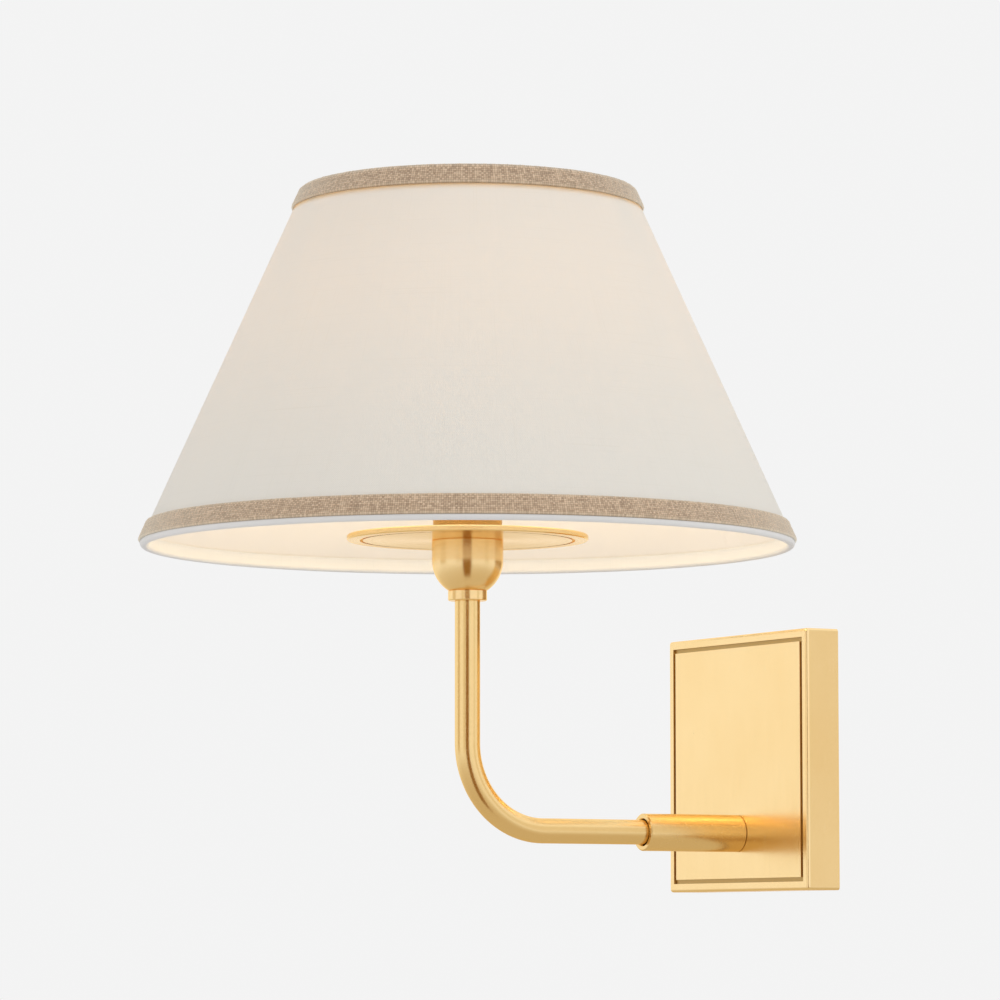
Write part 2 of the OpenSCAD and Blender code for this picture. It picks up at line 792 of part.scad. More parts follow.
low_hoop = skin(low_s, -roll_r);
high_hoop = skin(high_s, -roll_r);

// An arm's straight run leans from its turn by the flat ring to the hoop at the top
arm_start = [arm_turn_r, arm_z0];
arm_slope = unit(high_hoop - arm_start);
arm_end = high_hoop - (hoop_r + glue) * arm_slope;
arm_lean = atan(arm_slope[0] / arm_slope[1]);

module fitter_arm() {
    foot = [arm_foot_r, 0, arm_z0];
    turn = [arm_start[0], 0, arm_start[1]];
    end = [arm_end[0], 0, arm_end[1]];
    wire(concat([foot], corner(foot, turn, end, arm_bend_r, 6), [end]), arm_r);
}

module fitter_arms() {
    color(wire_white) at_lamp() for (i = [0 : arm_count - 1])
        rotate(arm_first_turn + i * 360 / arm_count) fitter_arm();
}

module hoop(centre) {
    at_lamp() rotate_extrude() translate(centre) circle(r = hoop_r);
}

module top_wire_ring() {
    color(wire_white) hoop(high_hoop);
}

module bottom_wire_ring() {
    color(wire_white) hoop(low_hoop);
}

// Shade covering

// A layer of the shade between two slant heights and two depths
module layer(s0, s1, o0, o1) {
    lamp_turned([skin(s0, o0), skin(s0, o1), skin(s1, o1), skin(s1, o0)]);
}

module shade_liner() {
    color([0.96, 0.92, 0.84]) layer(sheet_low, sheet_high, liner_in, liner_out);
}

module shade_fabric() {
    color(linen) layer(sheet_low, sheet_high, -fabric_t, 0);
}

// The bottom trim starts at the widest point of the rolled edge and lies along the fabric
module bottom_trim() {
    in = roll_r + trim_play;
    out = in + trim_t;
    top = low_s + trim_w - arc_length(in, lean);
    color(tape) lamp_turned(concat(
        arc(low_hoop, out, 0, lean, 4),
        [skin(top - trim_edge, trim_play + trim_t), skin(top, trim_play + trim_t - trim_edge)],
        [skin(top, trim_play)],
        arc(low_hoop, in, lean, 0, 4)
    ));
}

// The top trim lies along the fabric and turns over the edge
module top_trim() {
    in = roll_r + trim_play;
    out = in + trim_t;
    low = high_s - trim_w + arc_length(in, trim_turn);
    color(tape) lamp_turned(concat(
        [skin(low, trim_play), skin(low, trim_play + trim_t - trim_edge)],
        [skin(low + trim_edge, trim_play + trim_t)],
        arc(high_hoop, out, lean, lean + trim_turn, 10),
        arc(high_hoop, in, lean + trim_turn, lean, 10)
    ));
}

// Where a tape that rolls one way round a hoop leaves it for the point p: 1 is clockwise
function leaves_at(hoop, r, p, way) = let (d = p - hoop) atan2(d[1], d[0]) + way * (acos(r / norm(d)) - 360);

// White tape rolled round the bottom hoop, with a fold up the inside
module bottom_binding() {
    leg_top = sheet_low - glue;
    bend_in = skin(low_s + fold_bend, fold_in);
    bend_out = skin(low_s + fold_bend, fold_out);
    fold_top = low_s + fold_w;
    color(linen) lamp_turned(concat(
        [skin(leg_top, -binding_t), skin(leg_top, 0)],
        arc(low_hoop, roll_r, lean, leaves_at(low_hoop, roll_r, bend_in, 1), 16),
        [bend_in, skin(fold_top, fold_in), skin(fold_top, fold_out), bend_out],
        arc(low_hoop, roll_in, leaves_at(low_hoop, roll_in, bend_out, 1), lean, 14)
    ));
}

// The same tape round the top hoop, notched where the frame's arms come through
module top_binding() {
    leg_low = sheet_high + glue;
    bend_in = skin(high_s - fold_bend, fold_in);
    bend_out = skin(high_s - fold_bend, fold_out);
    fold_low = high_s - fold_w;
    color(linen) difference() {
        lamp_turned(concat(
            [skin(leg_low, -binding_t), skin(leg_low, 0)],
            arc(high_hoop, roll_r, lean, leaves_at(high_hoop, roll_r, bend_in, -1), 16),
            [bend_in, skin(fold_low, fold_in), skin(fold_low, fold_out), bend_out],
            arc(high_hoop, roll_in, leaves_at(high_hoop, roll_in, bend_out, -1), lean, 14)
        ));
        at_lamp() for (i = [0 : arm_count - 1]) rotate(arm_first_turn + i * 360 / arm_count)
            translate([high_hoop[0], 0, high_hoop[1]]) rotate([0, 180 + arm_lean, 0])
                cylinder(r = arm_r + hole_play, h = 4 * fold_w);
    }
}

// Bulb

// A cubic curve's value a share t of the way from a to d
function bezier(a, b, c, d, t) =
    pow(1 - t, 3) * a + 3 * pow(1 - t, 2) * t * b + 3 * (1 - t) * t * t * c + pow(t, 3) * d;

// The glass outline from its top to its neck: a ball that flows into a narrow neck
function bulb_side(shrink, n) = let (
        r = bulb_d / 2 - shrink,
        neck = neck_r - shrink,
        drop = bulb_ball_z - neck_z)
    concat(
        arc([0, bulb_ball_z], r, 90, 0, n),
        [for (i = [1 : n]) [
            bezier(r, r, neck + neck_flare, neck, i / n),
            bulb_ball_z - drop * bezier(0, upper_pull, lower_pull, 1, i / n)]]);

function reversed(list) = [for (i = [len(list) - 1 : -1 : 0]) list[i]];

module bulb_glass() {
    color([0.95, 0.95, 0.92, 0.6]) lamp_turned(concat(bulb_side(0, 16), reversed(bulb_side(glass_t, 16))));
}

module bulb_cap() {
    crest = thread_mid_r + thread_depth / 2;
    foot_z = contact_z + cap_foot_h;
    shoulder_r = crest - 1;
    shoulder_z = thread_z0 - 1.2;
    in_z = shoulder_z + shell_t + 0.2;      // the cone's slope makes the upright thickness greater
    color(raw_brass) lamp_turned(concat(
        [[cap_foot_r, foot_z], [shoulder_r, shoulder_z]],
        thread_line(0, thread_z0, thread_z1, thread_points),
        [[crest, cap_rim_z], [crest - shell_t, cap_rim_z]],
        thread_line(-shell_t, thread_z1, thread_z0, thread_points),
        [[shoulder_r - shell_t, in_z], [cap_foot_r, foot_z + in_z - shoulder_z]]
    ));
}

module bulb_insulator() {
    r = cap_foot_r - glue;
    tip_r = 4.2;
    low = contact_z + button_h;
    top = contact_z + insulator_top;
    color(black) lamp_turned([[0, low], [tip_r, low], [r, contact_z + cap_foot_h], [r, top], [0, top]]);
}

module bulb_contact() {
    r = 3.6;
    chamfer = 1;
    top = contact_z + button_h - glue;
    color(steel) lamp_turned([[0, contact_z], [r - chamfer, contact_z], [r, top], [0, top]]);
}

// Glass mount inside the bulb, with the two discs that carry the filaments
module bulb_stem() {
    foot_z = neck_z + 0.4;
    flare_r = mount_r + 2;
    flare_h = 8;
    neck_h = 14;
    low = mount_low_z;
    high = mount_high_z;
    t = mount_disc_t;
    color([0.9, 0.95, 0.95, 0.6]) lamp_turned([
        [0, foot_z], [neck_r - glass_t - glue, foot_z], [flare_r, foot_z + flare_h],
        [mount_r, foot_z + neck_h], [mount_r, low], [mount_disc_r, low], [mount_disc_r, low + t],
        [mount_r, low + t], [mount_r, high], [mount_disc_r, high], [mount_disc_r, high + t], [0, high + t]
    ]);
}

module bulb_filament() {
    color([1, 0.85, 0.5]) at_lamp(mount_low_z) for (i = [0 : filaments - 1]) rotate(i * 360 / filaments)
        translate([mount_disc_r + filament_r + glue, 0, 0])
            cylinder(r = filament_r, h = mount_high_z - mount_low_z + mount_disc_t);
}

mounting_bracket();
ground_screw();
backplate();
cover_screws();
hub_sleeve();
hub_nipple();
hub_washer();
hub_nut();
arm_tube();
stem_collar();
stem_nipple();
cup_nut();
socket_cup();
light_disc();
disc_ring();
socket_cap();
socket_body();
screw_shell();
centre_contact();
terminal_screws();
live_lead();
neutral_lead();
ground_lead();
wire_connectors();
shade_ring();
uno_ring();
fitter_arms();
top_wire_ring();
bottom_wire_ring();
shade_liner();
shade_fabric();
top_trim();
bottom_trim();
top_binding();
bottom_binding();
bulb_glass();
bulb_cap();
bulb_insulator();
bulb_contact();
bulb_stem();
bulb_filament();
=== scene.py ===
import json
import math

import bmesh
import bpy
import numpy as np
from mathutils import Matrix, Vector


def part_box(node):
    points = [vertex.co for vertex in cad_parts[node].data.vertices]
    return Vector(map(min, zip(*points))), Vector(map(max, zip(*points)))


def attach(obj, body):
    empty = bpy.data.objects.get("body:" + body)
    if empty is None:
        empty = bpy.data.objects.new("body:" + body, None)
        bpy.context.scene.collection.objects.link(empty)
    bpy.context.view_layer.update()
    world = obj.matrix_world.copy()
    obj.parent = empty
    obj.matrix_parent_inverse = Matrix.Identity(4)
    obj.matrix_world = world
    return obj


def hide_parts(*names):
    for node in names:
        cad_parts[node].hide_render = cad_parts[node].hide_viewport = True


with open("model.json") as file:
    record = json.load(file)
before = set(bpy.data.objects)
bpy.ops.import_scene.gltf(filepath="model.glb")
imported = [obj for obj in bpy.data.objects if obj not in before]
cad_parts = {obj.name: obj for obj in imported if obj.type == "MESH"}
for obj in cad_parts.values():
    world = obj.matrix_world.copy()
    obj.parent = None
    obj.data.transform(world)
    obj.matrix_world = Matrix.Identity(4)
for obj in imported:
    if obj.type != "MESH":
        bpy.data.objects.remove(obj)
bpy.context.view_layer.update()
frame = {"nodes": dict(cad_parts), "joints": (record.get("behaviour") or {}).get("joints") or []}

# Places and sizes, in metres and degrees

LAMP = next(Vector(j["pos_m"]) for j in frame["joints"] if j["name"] == "shade_turn")

CAMERA_TURN = 60.33
CAMERA_RISE = 5.42
CAMERA_DISTANCE = 2.268
CAMERA_AIM = Vector((0.0077, -0.1579, 0.1238))
CAMERA_LENS = 169.2

PLATE_BORDER = 0.0032    # less than the flat border outside the backplate's groove

SEAM = math.radians(90)  # the shade's seams face the wall
SHADE_RADIUS = 0.12      # where lengths round the linen and the liner are measured
LINEN_LAP = 0.0045       # half the width of the linen's turned seam
LINEN_LAP_RISE = 0.0005
LINER_LAP = 0.006
LINER_LAP_RISE = 0.0004
LAP_CLIMB = 0.0012       # how far a lap takes to climb on its soft side
LAP_DROP = 0.0003
LINEN_SWELL = 0.00012    # slow unevenness of the stretched linen
GLUE = 0.00005           # between the layers at the shade's rims

TAPE_THICK = 0.0015
TAPE_RELIEF = 0.00042    # depth of the tape's weave
TAPE_EDGE = 0.0009       # how far in from its edges the tape gets thinner
SELVEDGE = 0.0016        # width of the tape's paler edge
TAPE_ROWS = 11           # yarns across the tape
YARN = 0.00105           # from one crossing yarn to the next
TAPE_START = math.radians(18)    # above the widest point of the bottom roll
TAPE_TURN = math.radians(80)     # how far the top tape turns over its hoop

BINDING_THICK = 0.0006
BINDING_TURN = math.radians(205)    # how far the binding wraps its hoop
BINDING_BEND = 0.0042    # from the hoop's middle to where the fold lies on the liner
BINDING_WOBBLE = 0.00004

FLOOR_Z = -0.35
FLOOR_HALF = 15.0
FLAG_FOOT = FLOOR_Z + 0.002

# Colours, linear

BRASS = (0.95, 0.725, 0.395)
BRASS_DEEP = (0.86, 0.58, 0.24)
# A deeper copy of the brass for the hub and tube: painted shade that tones down what they reflect
BRASS_ARM_SHADED = (0.88, 0.65, 0.32)
# A much darker copy of the brass for the disc ring: painted shade
RING_BRASS_SHADED = (0.50, 0.28, 0.085)
# A darker brass painted in: a painted contact shadow at the hub sleeve's foot, and the backplate's darker
# groove
BRASS_DARKENED = (0.40, 0.255, 0.09)
BRASS_EDGE = (1.0, 0.86, 0.62)
RAW_BRASS = (0.72, 0.53, 0.24)
ZINC = (0.55, 0.56, 0.57)
LINEN = (0.875, 0.865, 0.81)
LINEN_THREAD = (0.815, 0.80, 0.73)
TAPE = (0.60, 0.40, 0.25)
TAPE_PALE = (0.72, 0.54, 0.375)
TAPE_CROWN = (0.88, 0.72, 0.53)
# Dark fibres, and painted shade between the yarns
TAPE_FIBRE_AND_GAP_SHADE = (0.22, 0.135, 0.08)
TAPE_SELVEDGE = (0.66, 0.55, 0.40)
BINDING = (0.735, 0.715, 0.695)
LINER = (0.74, 0.705, 0.68)
ENAMEL = (0.80, 0.79, 0.76)
BACKDROP = (0.90, 0.90, 0.90)
# Glossy rays see the floor painted darker and warmer near the lamp: painted shade in the brass's
# reflections
FLOOR_NEAR = (0.70, 0.60, 0.435)    # how the brass sees the floor below it
FLOOR_FAR = (1.0, 0.99, 0.97)
STUDIO = (1.0, 0.99, 0.97)          # how the brass sees the room
ROOM_LIGHT = (0.98, 0.985, 1.0)
BULB_GLOW = (1.0, 0.84, 0.58)
BULB_LIGHT = (1.0, 0.86, 0.58)
LINER_TINT = (1.0, 0.74, 0.38)      # the bulb's light after it has passed the liner


# Shader helpers

def shader(tree, kind, inputs=None, **settings):
    """A shader node, with each input set to a value or linked to a socket."""
    made = tree.nodes.new("ShaderNode" + kind)
    for key, value in settings.items():
        setattr(made, key, value)
    for key, value in (inputs or {}).items():
        socket = made.inputs[key]
        if isinstance(value, bpy.types.NodeSocket):
            tree.links.new(value, socket)
        elif isinstance(value, tuple) and len(value) == 3 and socket.type == "RGBA":
            socket.default_value = (*value, 1)
        else:
            socket.default_value = value
    return made


def math_of(tree, operation, a, b=0.0):
    return shader(tree, "Math", {0: a, 1: b}, operation=operation).outputs[0]


def mix_of(tree, share, a, b):
    made = shader(tree, "Mix", {0: share}, data_type="RGBA")
    for key, value in ((6, a), (7, b)):
        if isinstance(value, bpy.types.NodeSocket):
            tree.links.new(value, made.inputs[key])
        else:
            made.inputs[key].default_value = (*value, 1)
    return made.outputs[2]


def noise_of(tree, vector, scale, detail=3.0, roughness=0.55):
    inputs = {"Vector": vector, "Scale": scale, "Detail": detail, "Roughness": roughness}
    return shader(tree, "TexNoise", inputs).outputs["Fac"]


def spread(tree, value, low, high, to_low=0.0, to_high=1.0):
    """The value's range from low to high, stretched to another range and clamped."""
    inputs = {"Value": value, "From Min": low, "From Max": high, "To Min": to_low, "To Max": to_high}
    return shader(tree, "MapRange", inputs).outputs["Result"]


def scaled(tree, vector, scale):
    return shader(tree, "VectorMath", {0: vector, 1: scale}, operation="MULTIPLY").outputs[0]


def place(tree):
    """The point in the object's own frame, in metres."""
    return shader(tree, "TexCoord").outputs["Object"]


def bumped(tree, height, distance, strength=1.0):
    inputs = {"Height": height, "Distance": distance, "Strength": strength}
    return shader(tree, "Bump", inputs).outputs["Normal"]


def material(name):
    made = bpy.data.materials.new(name)
    made.use_nodes = True
    made.node_tree.nodes.clear()
    return made, made.node_tree


def output(tree, surface):
    shader(tree, "OutputMaterial", {"Surface": surface})


# Metals

def turned_vector(tree, centre, lengthwise):
    """Distance along a turned piece's axis, distance out from it and angle round it, as a vector."""
    x, y, z = (shader(tree, "SeparateXYZ", {0: place(tree)}).outputs[i] for i in range(3))
    upright = lengthwise == "Z"
    along = z if upright else y
    across = math_of(tree, "SUBTRACT", x, centre.x)
    up = math_of(tree, "SUBTRACT", *((y, centre.y) if upright else (z, centre.z)))
    out = math_of(tree, "SQRT", math_of(tree, "ADD", math_of(tree, "MULTIPLY", across, across),
                                        math_of(tree, "MULTIPLY", up, up)))
    turn = math_of(tree, "MULTIPLY", math_of(tree, "ARCTAN2", up, across), 0.01)
    return shader(tree, "CombineXYZ", {0: along, 1: out, 2: turn}).outputs[0]


def groove_darkening(tree):
    """Where the backplate is painted darker: in its groove, below its front and inside its border."""
    x, y, z = (shader(tree, "SeparateXYZ", {0: place(tree)}).outputs[i] for i in range(3))
    low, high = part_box("backplate")
    aside = math_of(tree, "MAXIMUM", math_of(tree, "ABSOLUTE", x), math_of(tree, "ABSOLUTE", z))
    inside = math_of(tree, "LESS_THAN", aside, high.x - PLATE_BORDER)
    return math_of(tree, "MULTIPLY", inside, spread(tree, y, low.y + 0.0003, low.y + 0.0010))


def foot_painted_shadow(tree):
    """Painted contact shadow: a fine dark line round the sleeve where it stands on the backplate."""
    y = shader(tree, "SeparateXYZ", {0: place(tree)}).outputs[1]
    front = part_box("backplate")[0].y
    return spread(tree, y, front - 0.0005, front - 0.0001)


def brass(name, grain, centre=None, lengthwise=None, smooth=0.17, rough=0.27, stretch=0.0, tint=BRASS,
          darkening=None, depth=0.35):
    """Satin brass. grain is how finely the brushing varies along each direction.

    stretch draws reflections out across the brushing, which then runs round the lengthwise axis. A
    darkening mask, if given, says where the metal is painted darker, and depth is how much the brushing
    stands out.
    """
    made, tree = material(name)
    where = place(tree) if centre is None else turned_vector(tree, centre, lengthwise)
    brushing = noise_of(tree, scaled(tree, where, grain), 1.0, 4.0, 0.6)
    cloud = noise_of(tree, place(tree), 22.0, 4.0)
    speck = noise_of(tree, place(tree), 900.0, 2.0)
    tone = mix_of(tree, spread(tree, cloud, 0.35, 0.7, 0.0, 0.22), tint, BRASS_DEEP)
    tone = mix_of(tree, spread(tree, brushing, 0.3, 0.7, 0.0, 0.10), tone, BRASS_DEEP)
    haze = math_of(tree, "ADD", spread(tree, brushing, 0.3, 0.7, smooth, rough),
                   spread(tree, speck, 0.55, 0.8, 0.0, 0.04))
    # Painted darker where the mask says so: a painted contact shadow, or the backplate's darker groove
    if darkening:
        dark = darkening(tree)
        tone = mix_of(tree, math_of(tree, "MULTIPLY", dark, 0.85), tone, BRASS_DARKENED)
        haze = math_of(tree, "ADD", haze, math_of(tree, "MULTIPLY", dark, 0.12))
    normal = bumped(tree, brushing, 0.000012, depth)
    face = shader(tree, "BsdfPrincipled", {
        "Base Color": tone, "Metallic": 1.0, "Roughness": haze, "Normal": normal,
        "Specular Tint": BRASS_EDGE})
    if stretch:
        round_it = shader(tree, "Tangent", direction_type="RADIAL", axis=lengthwise)
        face.inputs["Anisotropic"].default_value = stretch
        face.inputs["Anisotropic Rotation"].default_value = 0.25
        tree.links.new(round_it.outputs[0], face.inputs["Tangent"])
    output(tree, face.outputs[0])
    return made


def metal(name, colour, darker, smooth, rough, scale=120.0, bump=0.00002):
    made, tree = material(name)
    cloud = noise_of(tree, place(tree), scale, 4.0)
    tone = mix_of(tree, spread(tree, cloud, 0.35, 0.7), colour, darker)
    output(tree, shader(tree, "BsdfPrincipled", {
        "Base Color": tone, "Metallic": 1.0, "Roughness": spread(tree, cloud, 0.3, 0.7, smooth, rough),
        "Normal": bumped(tree, cloud, bump)}).outputs[0])
    return made


# Plastics, enamel and glass

def moulded(name, colour, darker, smooth, rough, scale=300.0, bump=0.00003):
    made, tree = material(name)
    grain = noise_of(tree, place(tree), scale, 3.0)
    cloud = noise_of(tree, place(tree), 30.0, 3.0)
    tone = mix_of(tree, spread(tree, cloud, 0.35, 0.7), colour, darker)
    output(tree, shader(tree, "BsdfPrincipled", {
        "Base Color": tone, "Roughness": spread(tree, grain, 0.3, 0.7, smooth, rough),
        "Normal": bumped(tree, grain, bump)}).outputs[0])
    return made


def lets_light_through(tree, surface, tint, share):
    """The surface, but a share of the lamp's light passes straight on and is tinted."""
    ray = shader(tree, "LightPath").outputs["Is Shadow Ray"]
    clear = shader(tree, "BsdfTransparent", {"Color": tint}).outputs[0]
    passing = math_of(tree, "MULTIPLY", ray, share)
    return shader(tree, "MixShader", {0: passing, 1: surface, 2: clear}).outputs[0]


def frosted_bulb():
    made, tree = material("frosted_bulb_glass")
    mottle = noise_of(tree, place(tree), 60.0, 3.0)
    skin = shader(tree, "BsdfPrincipled", {
        "Base Color": mix_of(tree, mottle, (0.58, 0.56, 0.52), (0.52, 0.50, 0.46)),
        "Roughness": spread(tree, mottle, 0.3, 0.7, 0.35, 0.5),
        "Normal": bumped(tree, mottle, 0.00003),
        "Emission Color": BULB_GLOW, "Emission Strength": 0.5}).outputs[0]
    output(tree, lets_light_through(tree, skin, (1.0, 1.0, 1.0), 1.0))
    return made


def clear_glass():
    made, tree = material("clear_glass")
    ripple = noise_of(tree, place(tree), 200.0, 2.0)
    output(tree, shader(tree, "BsdfPrincipled", {
        "Base Color": (0.92, 0.96, 0.95), "Roughness": spread(tree, ripple, 0.3, 0.7, 0.02, 0.08),
        "Transmission Weight": 1.0, "Normal": bumped(tree, ripple, 0.00002)}).outputs[0])
    return made


# Cloth and liner

def weave_height(tree, uv, pitch, wander):
    """Height of a plain weave whose threads are pitch apart, from 0 to 1."""
    drift = shader(tree, "VectorMath", {
        0: shader(tree, "TexNoise", {"Vector": uv, "Scale": 90.0, "Detail": 2.0}).outputs["Color"],
        1: (wander, wander, 0)}, operation="MULTIPLY").outputs[0]
    moved = shader(tree, "VectorMath", {0: uv, 1: drift}, operation="ADD").outputs[0]
    u, v = (shader(tree, "SeparateXYZ", {0: moved}).outputs[i] for i in range(2))
    turns = math.pi / pitch
    along = math_of(tree, "SINE", math_of(tree, "MULTIPLY", u, turns))
    across = math_of(tree, "SINE", math_of(tree, "MULTIPLY", v, turns))
    over = math_of(tree, "MULTIPLY", along, across)
    return spread(tree, over, -1.0, 1.0)


def cloth_tones(tree, uv, colour, thread):
    """Colour of plain cloth with longer and darker threads here and there, both ways."""
    weft = noise_of(tree, scaled(tree, uv, (14.0, 1500.0, 1.0)), 1.0, 2.0)
    warp = noise_of(tree, scaled(tree, uv, (1500.0, 14.0, 1.0)), 1.0, 2.0)
    slub = math_of(tree, "MAXIMUM", weft, warp)
    tone = mix_of(tree, spread(tree, slub, 0.58, 0.85, 0.0, 0.55), colour, thread)
    cloud = noise_of(tree, uv, 9.0, 3.0)
    return mix_of(tree, spread(tree, cloud, 0.3, 0.7, 0.0, 0.10), tone, thread), slub


def linen(name, colour, thread, pitch=0.00042, glow=0.0, relief=0.00006, thin_at=None):
    """Plain linen. glow is the share of light that comes through it, more of it just below thin_at."""
    made, tree = material(name)
    uv = shader(tree, "UVMap", uv_map="cloth").outputs[0]
    tone, slub = cloth_tones(tree, uv, colour, thread)
    weave = weave_height(tree, uv, pitch, 0.0006)
    height = math_of(tree, "ADD", weave, math_of(tree, "MULTIPLY", slub, 1.4))
    normal = bumped(tree, height, relief, 0.8)
    face = shader(tree, "BsdfPrincipled", {
        "Base Color": tone, "Roughness": 0.92, "Specular IOR Level": 0.25, "Normal": normal,
        "Sheen Weight": 0.12, "Sheen Roughness": 0.5}).outputs[0]
    if glow:
        back = shader(tree, "BsdfTranslucent", {"Color": tone, "Normal": normal}).outputs[0]
        up = shader(tree, "SeparateXYZ", {0: uv}).outputs[1]
        share = spread(tree, up, thin_at - 0.0028, thin_at, glow, 3.8 * glow)
        face = shader(tree, "MixShader", {0: share, 1: face, 2: back}).outputs[0]
    output(tree, face)
    return made


def hidden_back(name, colour):
    """The inner side of the linen, glued to the liner."""
    made, tree = material(name)
    mottle = noise_of(tree, place(tree), 400.0, 2.0)
    tone = mix_of(tree, mottle, colour, tuple(c * 0.9 for c in colour))
    face = shader(tree, "BsdfPrincipled", {"Base Color": tone, "Roughness": 0.9}).outputs[0]
    output(tree, lets_light_through(tree, face, (1.0, 1.0, 1.0), 1.0))
    return made


def liner_sheet():
    """Stiff cream liner: nearly matt, and it passes some of the bulb's light."""
    made, tree = material("cream_liner")
    mottle = noise_of(tree, place(tree), 260.0, 3.0)
    cloud = noise_of(tree, place(tree), 12.0, 2.0)
    tone = mix_of(tree, spread(tree, cloud, 0.3, 0.7), LINER, tuple(c * 0.96 for c in LINER))
    face = shader(tree, "BsdfPrincipled", {
        "Base Color": tone, "Roughness": spread(tree, mottle, 0.3, 0.7, 0.48, 0.62),
        "Specular IOR Level": 0.35, "Normal": bumped(tree, mottle, 0.00002)}).outputs[0]
    output(tree, lets_light_through(tree, face, LINER_TINT, 0.72))
    return made


def woven_tape():
    """Natural yarn, each yarn its own tone, with paler flecks and dark fibres; between the yarns it is
    painted dark, a painted shade, so the crowns read paler.
    """
    made, tree = material("natural_woven_tape")
    uv = shader(tree, "UVMap", uv_map="cloth").outputs[0]
    crown = shader(tree, "Attribute", attribute_name="crown", attribute_type="GEOMETRY").outputs["Fac"]
    edge = shader(tree, "Attribute", attribute_name="selvedge", attribute_type="GEOMETRY").outputs["Fac"]
    row = noise_of(tree, scaled(tree, uv, (250.0, 1900.0, 1.0)), 1.0, 2.0)
    grain = noise_of(tree, scaled(tree, uv, (2000.0, 2000.0, 1.0)), 1.0, 1.0)
    fibre = noise_of(tree, scaled(tree, uv, (4500.0, 4500.0, 1.0)), 1.0, 2.0)
    tone = mix_of(tree, spread(tree, row, 0.40, 0.60, 0.25, 0.75), TAPE, TAPE_PALE)
    tone = mix_of(tree, spread(tree, grain, 0.45, 0.70, 0.0, 0.45), tone, TAPE_CROWN)
    tone = mix_of(tree, spread(tree, fibre, 0.50, 0.75, 0.0, 0.30), tone, TAPE_FIBRE_AND_GAP_SHADE)
    # Painted shade: darker where the weave is low, between the yarns
    tone = mix_of(tree, spread(tree, crown, 0.05, 0.70, 1.0, 0.0), tone, TAPE_FIBRE_AND_GAP_SHADE)
    tone = mix_of(tree, math_of(tree, "MULTIPLY", edge, 0.35), tone, TAPE_SELVEDGE)
    normal = bumped(tree, fibre, 0.00008, 0.6)
    output(tree, shader(tree, "BsdfPrincipled", {
        "Base Color": tone, "Roughness": 0.85, "Specular IOR Level": 0.2, "Normal": normal,
        "Sheen Weight": 1.0, "Sheen Roughness": 0.5, "Sheen Tint": (0.93, 0.93, 0.82, 1)}).outputs[0])
    return made


# Mesh helpers

def link(name, mesh):
    made = bpy.data.objects.new(name, mesh)
    bpy.context.scene.collection.objects.link(made)
    return made


def grid_piece(name, points, uv, marks=None, wrap_v=True):
    """A mesh from rows of points that go round the lamp; wrap_v also closes each row's own outline."""
    around, along = points.shape[:2]
    i = np.arange(around)[:, None]
    j = np.arange(along if wrap_v else along - 1)[None, :]
    i2, j2 = (i + 1) % around, (j + 1) % along
    quads = np.stack([i * along + j, i2 * along + j, i2 * along + j2, i * along + j2], -1).reshape(-1, 4)
    mesh = bpy.data.meshes.new(name)
    mesh.vertices.add(around * along)
    mesh.vertices.foreach_set("co", points.reshape(-1).astype(np.float32))
    mesh.loops.add(quads.size)
    mesh.loops.foreach_set("vertex_index", quads.reshape(-1).astype(np.int32))
    mesh.polygons.add(len(quads))
    mesh.polygons.foreach_set("loop_start", np.arange(0, quads.size, 4, dtype=np.int32))
    mesh.update(calc_edges=True)
    wide = np.concatenate([uv, uv[:, :1] + np.array([0.0, 0.001])], 1) if wrap_v else uv
    span = 2 * uv[-1, 0, 0] - uv[-2, 0, 0] - uv[0, 0, 0]
    wide = np.concatenate([wide, wide[:1] + np.array([span, 0.0])], 0)
    k = np.broadcast_to(i, (around, j.shape[1]))
    m = np.broadcast_to(j, (around, j.shape[1]))
    corners = np.stack([wide[k, m], wide[k + 1, m], wide[k + 1, m + 1], wide[k, m + 1]], 2)
    layer = mesh.uv_layers.new(name="cloth")
    layer.data.foreach_set("uv", corners.reshape(-1).astype(np.float32))
    for key, values in (marks or {}).items():
        mark = mesh.attributes.new(key, "FLOAT", "POINT")
        mark.data.foreach_set("value", values.reshape(-1).astype(np.float32))
    mesh.polygons.foreach_set("use_smooth", np.ones(len(quads), bool))
    mesh.set_sharp_from_angle(angle=math.radians(42))
    mesh.validate()
    return link(name, mesh)


def dress(piece, body, slot, surface, *nodes):
    """Gives a piece its materials, the body it moves with and the CAD nodes it stands for. slot is not
    used.
    """
    piece.data.materials.clear()
    for one in surface if isinstance(surface, list) else [surface]:
        piece.data.materials.append(one)
    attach(piece, body)
    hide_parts(*nodes)
    return piece


def face_materials(piece, rows, count, pick):
    """Gives each face the material that pick returns for its place along the outline."""
    index = np.tile(np.array([pick(j) for j in range(rows)], np.int32), count)
    piece.data.polygons.foreach_set("material_index", index)


def smooth_wire(node, name):
    """A rounder copy of a CAD wire: its facets are merged and subdivided."""
    made = link(name, frame["nodes"][node].data.copy())
    mesh = bmesh.new()
    mesh.from_mesh(made.data)
    bmesh.ops.remove_doubles(mesh, verts=mesh.verts, dist=0.000005)
    bmesh.ops.join_triangles(mesh, faces=mesh.faces, angle_face_threshold=0.6, angle_shape_threshold=3.0)
    mesh.to_mesh(made.data)
    mesh.free()
    rounder = made.modifiers.new("rounder", "SUBSURF")
    rounder.levels = rounder.render_levels = 2
    bpy.context.view_layer.objects.active = made
    bpy.ops.object.modifier_apply(modifier="rounder")
    made.data.polygons.foreach_set("use_smooth", np.ones(len(made.data.polygons), bool))
    return made


# The shade's section: s runs up the linen, o straight out from it

def section(node):
    """Radius and height of a CAD node's points, about the lamp's upright axis."""
    co = np.array([v.co for v in frame["nodes"][node].data.vertices])
    return np.hypot(co[:, 0] - LAMP.x, co[:, 1] - LAMP.y), co[:, 2]


